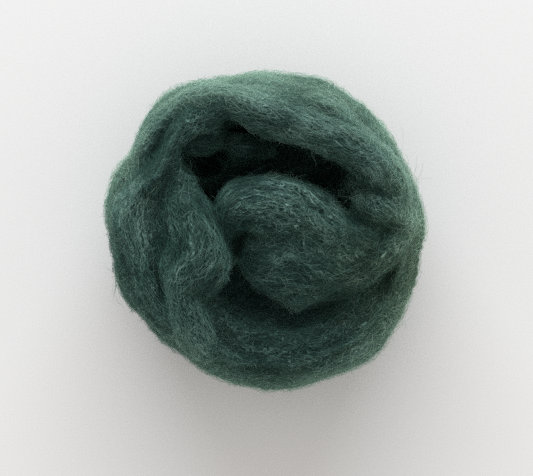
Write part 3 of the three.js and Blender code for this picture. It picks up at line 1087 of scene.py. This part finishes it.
def skin_material(dye, fibre_layer):
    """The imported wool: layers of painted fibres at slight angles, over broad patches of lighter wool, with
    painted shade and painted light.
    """
    material, tree, shader = new_material("packed_wool")
    lay = attribute(tree, "lay")["Vector"]
    painted_shade, loose_and_rim_light, streak, olive = (attribute(tree, name)["Fac"] for name in STATE_FIELDS)
    height = 0.0
    for angle, length, width, seed in FIBRE_LAYERS:
        inputs = {"Lay": lay, "Angle": angle, "Length": length, "Width": width, "Seed": seed}
        height = maths(tree, "MAXIMUM", placed(tree, fibre_layer, inputs)["Height"], height)
    spot = put(tree, "ShaderNodeTexCoord").outputs["Object"]
    patches = noise(tree, spot, TONE_PATCHES["scale"], TONE_PATCHES["detail"])[0]
    patches = mapped(tree, patches, TONE_PATCHES["noise"], TONE_PATCHES["tone"])
    streaks = maths(tree, "MULTIPLY_ADD", streak, STREAK_TONE, 1.0)
    tone = maths(tree, "MULTIPLY", maths(tree, "MULTIPLY", height, patches), streaks)
    tone = maths(tree, "MULTIPLY_ADD", tone, 1 - DARKEST_TONE, DARKEST_TONE)
    # Loose wool at the rim tends to one even tone, which also paints rim light on it.
    evenness = maths(tree, "MULTIPLY", loose_and_rim_light, LOOSE_TONE)
    tone = put(tree, "ShaderNodeMix", inputs={0: evenness, 2: tone, 3: EVEN_TONE}).outputs[0]
    # Painted shade darkens creases, the deep nest and patches, and painted light lightens ridges and tufts.
    shade = maths(tree, "MULTIPLY", tone, maths(tree, "MULTIPLY_ADD", painted_shade, -PAINTED_SHADE_STRENGTH, 1.0))
    shade = maths(tree, "MINIMUM", shade, LIGHTEST_SHADE)
    warmth = noise(tree, spot, WARM_PATCHES["scale"], WARM_PATCHES["detail"])[0]
    warmth = maths(tree, "MULTIPLY_ADD", warmth, WARM_PATCHES["warmth"], olive)
    warmth = maths(tree, "MULTIPLY_ADD", loose_and_rim_light, LOOSE_WARMTH, warmth)
    colour = placed(tree, dye, {"Shade": shade, "Warmth": warmth})["Color"]
    tree.links.new(colour, shader["Base Color"])
    relief = {"Strength": BUMP_STRENGTH, "Distance": BUMP_HEIGHT * MM, "Height": height}
    tree.links.new(put(tree, "ShaderNodeBump", inputs=relief).outputs[0], shader["Normal"])
    finish(shader, SKIN_GLOSS)
    return material


def finish(shader, gloss):
    """Sets the gloss of wool, the same all over."""
    for socket, value in {**FINISH, "Specular IOR Level": gloss}.items():
        shader[socket].default_value = value


def fibre_material(dye):
    """Loose fibres, each with a shade and warmth of its own."""
    material, tree, shader = new_material("loose_wool")
    shade, warmth, _ = split(tree, attribute(tree, "fibre")["Vector"])
    colour = placed(tree, dye, {"Shade": shade, "Warmth": warmth})["Color"]
    tree.links.new(colour, shader["Base Color"])
    finish(shader, FIBRE_GLOSS)
    return material


def floor_material():
    """A plain pale colour."""
    material, _, shader = new_material("pale_floor")
    shader["Base Color"].default_value = (*FLOOR_COLOUR, 1)
    shader["Roughness"].default_value = FLOOR_ROUGHNESS
    return material


def depth_below(points, quads, normals, passes):
    """How deep each point of a skin lies below the skin that a number of smoothing passes make of it."""
    thing = shown("levelling", mesh_of("levelling", points, quads))
    add_smoothing(thing, passes)
    level, _ = applied(thing)
    return np.sum((level - points) * normals, 1)


def looseness_and_rim_light(points):
    """How loose the wool is at points: it rises evenly between the table's two distances at their bearing."""
    # The same value sets the painted rim light, which makes loose wool lighter.
    bearings, begin, end = np.array(LOOSE_WOOL_AND_RIM_LIGHT, float).T
    bearing = np.degrees(np.arctan2(points[:, 1], points[:, 0])) % 360
    low, high = np.interp(bearing, bearings, begin), np.interp(bearing, bearings, end)
    return np.clip((np.hypot(points[:, 0], points[:, 1]) - low) / (high - low), 0, 1)


def streakiness(points, places):
    """Light and dark streaks, from -1 to 1: smooth noise drawn out along the strips, and some of patches."""
    drawn_out = soft_noise(places / (*STREAK_SIZE, 1) + STRIP_OFFSET, SEEDS["streaks"])
    patches = soft_noise(points / STREAK_PATCHES["size"], SEEDS["patches"])
    return np.clip(drawn_out + STREAK_PATCHES["share"] * patches, -1, 1)


def nest_depth_shade(points):
    """The painted shade of points in the nest by their depth: it rises evenly from the top to the bottom."""
    nest = HOLLOWS["nest"]
    inside = np.hypot(points[:, 0] - nest["x"], points[:, 1] - nest["y"]) < nest["radius"]
    deep = (NEST_DEPTH_SHADE["top"] - points[:, 2]) / (NEST_DEPTH_SHADE["top"] - NEST_DEPTH_SHADE["bottom"])
    return NEST_DEPTH_SHADE["painted_shade"] * np.clip(deep, 0, 1) * inside


def bell(points, x, y, reach):
    """A bell curve of how far points lie from a place, seen from above: exp(-(distance / reach) ** 2)."""
    return np.exp(-((np.hypot(points[:, 0] - x, points[:, 1] - y) / reach) ** 2))


def painted_patch_shade(points):
    """The painted shade that the patches add at points, below 0 for painted light: the sum of each patch's
    amount times its bell curve.
    """
    return sum(depth * bell(points, x, y, reach) for x, y, reach, depth in PAINTED_PATCHES)


def wispiness(points):
    """How likely wisps are to stand off points: the sum of a bell curve for each place in the table."""
    return sum(bell(points, *place) for place in WISPS)


def olive_share(points):
    """How olive the wool is at points: a bell curve round the olive side's middle."""
    return OLIVE["warmth"] * bell(points, OLIVE["x"], OLIVE["y"], OLIVE["reach"])


def painted_shade_at(points, quads, normals):
    """The painted shade at points: the larger of crease and nest depth, less painted light on ridges, plus
    patches, 1 at most.
    """
    crease = np.clip(depth_below(points, quads, normals, CREASE_PASSES) / CREASE_DEPTH, 0, 1)
    ridge = np.clip(-depth_below(points, quads, normals, RIDGE_PASSES) / RIDGE_HEIGHT, 0, 1)
    return np.minimum(1, np.maximum(crease, nest_depth_shade(points)) - RIDGE_PAINTED_LIGHT * ridge + painted_patch_shade(points))


def rooting_chances(points, normals):
    """How likely fibres are to root at points, by how high, upright and far from the axis the points are."""
    up = normals[:, 2]
    away = np.hypot(points[:, 0], points[:, 1])
    foot = np.clip(points[:, 2] / FOOT_HEIGHT, 0, 1)
    upper = np.clip(up + UNDERSIDE["turned_down"], 0, 1)
    edge = foot * np.clip(1 - np.abs(up), LEVEL_FACE, 1)
    return {
        "all_over": foot * (UNDERSIDE["least"] + (1 - UNDERSIDE["least"]) * upper),
        "rim": edge * np.clip((away - RIM["begin"]) / RIM["width"], RIM["least"], 1),
        "nest": edge * (away < NEST_EDGE),
        "wispy": foot * wispiness(points),
    }


def make_skin():
    """The joined skin of the ball, in millimetres, with what the fibres need to know of it.

    It is moved so that the middle of its form's box stands over the origin, as the solid's does.
    """
    points, quads = ball_form()
    middle = (points.min(0) + points.max(0)) / 2
    stations = strip_stations()
    points = raised(points, quads, stations)
    tangents, places, _ = strip_places(points, stations)
    normals = vertex_normals(points, quads)
    points[:, :2] -= middle[:2]
    # Painted shade in creases, deep in the nest and in patches, and painted light on ridges.
    painted_shade = painted_shade_at(points, quads, normals)
    state = np.stack([painted_shade, looseness_and_rim_light(points), streakiness(points, places), olive_share(points)], -1)
    return {
        "points": points, "quads": quads, "normals": normals, "tangents": tangents, "places": places,
        "state": state, "chances": rooting_chances(points, normals),
        "object": shown("skin", mesh_of("skin", points, quads)),
    }


def dressed(name, mesh, material):
    """A piece of the ball: a mesh with its material, which rides on the ball's body."""
    mesh.materials.append(material)
    piece = shown(name, mesh)
    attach(piece, BODY)
    return piece


def packed_wool(skin, material):
    """The ball's body, from the skin, with each point's place along and round its strip and its state."""
    mesh = mesh_of("packed_wool", skin["points"] * MM, skin["quads"])
    mark(mesh, "lay", skin["places"])
    for name, values in zip(STATE_FIELDS, skin["state"].T):
        mark(mesh, name, values)
    body = dressed("packed_wool", mesh, material)
    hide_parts(NODE)


def fibre_colours(kind, state, source):
    """Each fibre's shade and warmth: about those of its kind, changed by the state of the wool it roots in.

    Loose wool is warmer, more even and lighter with painted rim light, and painted shade darkens wool by a
    share of its shade.
    """
    painted_shade, loose_and_rim_light, streak, olive = state.T
    middling, spread = kind["shade"]
    shade = middling + spread * source.normal(size=len(state)) * (1 - LOOSE_TONE * loose_and_rim_light)
    # Loose fibres at the rim are lighter: painted rim light.
    shade = shade + STREAK_SHADE * streak + LOOSE_RIM_LIGHT * loose_and_rim_light
    # Painted shade darkens fibres in creases, deep in the nest and in patches; below 0 it is painted light on
    # ridges.
    shade = shade * (1 - PAINTED_SHADE_STRENGTH * painted_shade)
    shade = np.clip(shade, DARKEST_SHADE, LIGHTEST_SHADE + (1 - LIGHTEST_SHADE) * loose_and_rim_light)
    warmth = np.clip(source.normal(*kind["warmth"], len(state)) + LOOSE_WARMTH * loose_and_rim_light + olive, 0, 1)
    return np.stack([shade, warmth, 0 * shade], -1)


def fibre_piece(name, skin, kind, paths_of, material, seed):
    """One piece of many fibres of a kind."""
    source = np.random.default_rng(seed)
    paths, normals, state = paths_of(skin, kind, source)
    widths = source.uniform(*kind["width"], kind["count"])
    colours = fibre_colours(kind, state, source)
    paths[..., 2] = np.maximum(paths[..., 2], widths[:, None])
    mesh = tube_mesh(name, paths, normals, widths, kind["taper"])
    mark(mesh, "fibre", np.repeat(colours, len(mesh.vertices) // kind["count"], axis=0))
    dressed(name, mesh, material)


def add_camera():
    """The camera over the ball, shifted so that the ball lies in the picture as in the photograph."""
    data = bpy.data.cameras.new("camera")
    data.sensor_width = SENSOR
    data.lens = SENSOR * (CAMERA_HEIGHT - TARGET_HEIGHT) / (PHOTO_SIZE[0] * PIXEL)
    data.shift_x = (PHOTO_SIZE[0] / 2 - PHOTO_BALL_MIDDLE[0]) / PHOTO_SIZE[0]
    data.shift_y = -(PHOTO_SIZE[1] / 2 - PHOTO_BALL_MIDDLE[1]) / PHOTO_SIZE[0]
    camera = shown("camera", data)
    camera.location = (0, 0, CAMERA_HEIGHT)
    bpy.context.scene.camera = camera


def add_lamp(name, place, aim, width, height, power, colour):
    """A soft oblong lamp."""
    data = bpy.data.lights.new(name, "AREA")
    data.shape = "RECTANGLE"
    data.size = width
    data.size_y = height
    data.energy = power
    data.color = colour
    lamp = shown(name, data)
    lamp.location = place
    lamp.rotation_euler = (Vector(aim) - Vector(place)).to_track_quat("-Z", "Y").to_euler()


def add_studio():
    """A pale floor, a large soft lamp beyond the ball's +Y side and even light from all round.

    Denoising is off, because it smears fibres that are finer than a pixel.
    """
    corners = np.array([(-1, -1, 0), (1, -1, 0), (1, 1, 0), (-1, 1, 0)]) * FLOOR_REACH
    mesh = mesh_of("floor", corners, [(0, 1, 2, 3)])
    mesh.materials.append(floor_material())
    shown("floor", mesh)
    world = bpy.data.worlds.new("studio")
    world.use_nodes = True
    background = world.node_tree.nodes["Background"].inputs
    background["Color"].default_value = (*WORLD_COLOUR, 1)
    background["Strength"].default_value = WORLD_LIGHT
    bpy.context.scene.world = world
    for name, lamp in LAMPS.items():
        add_lamp(name, **lamp)
    bpy.context.scene.view_settings.view_transform = "Standard"
    bpy.context.scene.cycles.use_denoising = False


def main():
    """Builds the ball, its fibres and the studio."""
    add_camera()
    add_studio()
    dye = dye_group()
    skin = make_skin()
    packed_wool(skin, skin_material(dye, fibre_layer_group()))
    loose_wool = fibre_material(dye)
    seeds = itertools.count(SEEDS["fibres"])
    for kinds, paths_of in ((STRANDS, strand_paths), (FUZZ, fuzz_paths)):
        for name, kind in kinds.items():
            for k in range(kind["pieces"]):
                fibre_piece(f"{name}_{k + 1}", skin, kind, paths_of, loose_wool, next(seeds))
    bpy.data.objects.remove(skin["object"])


main()
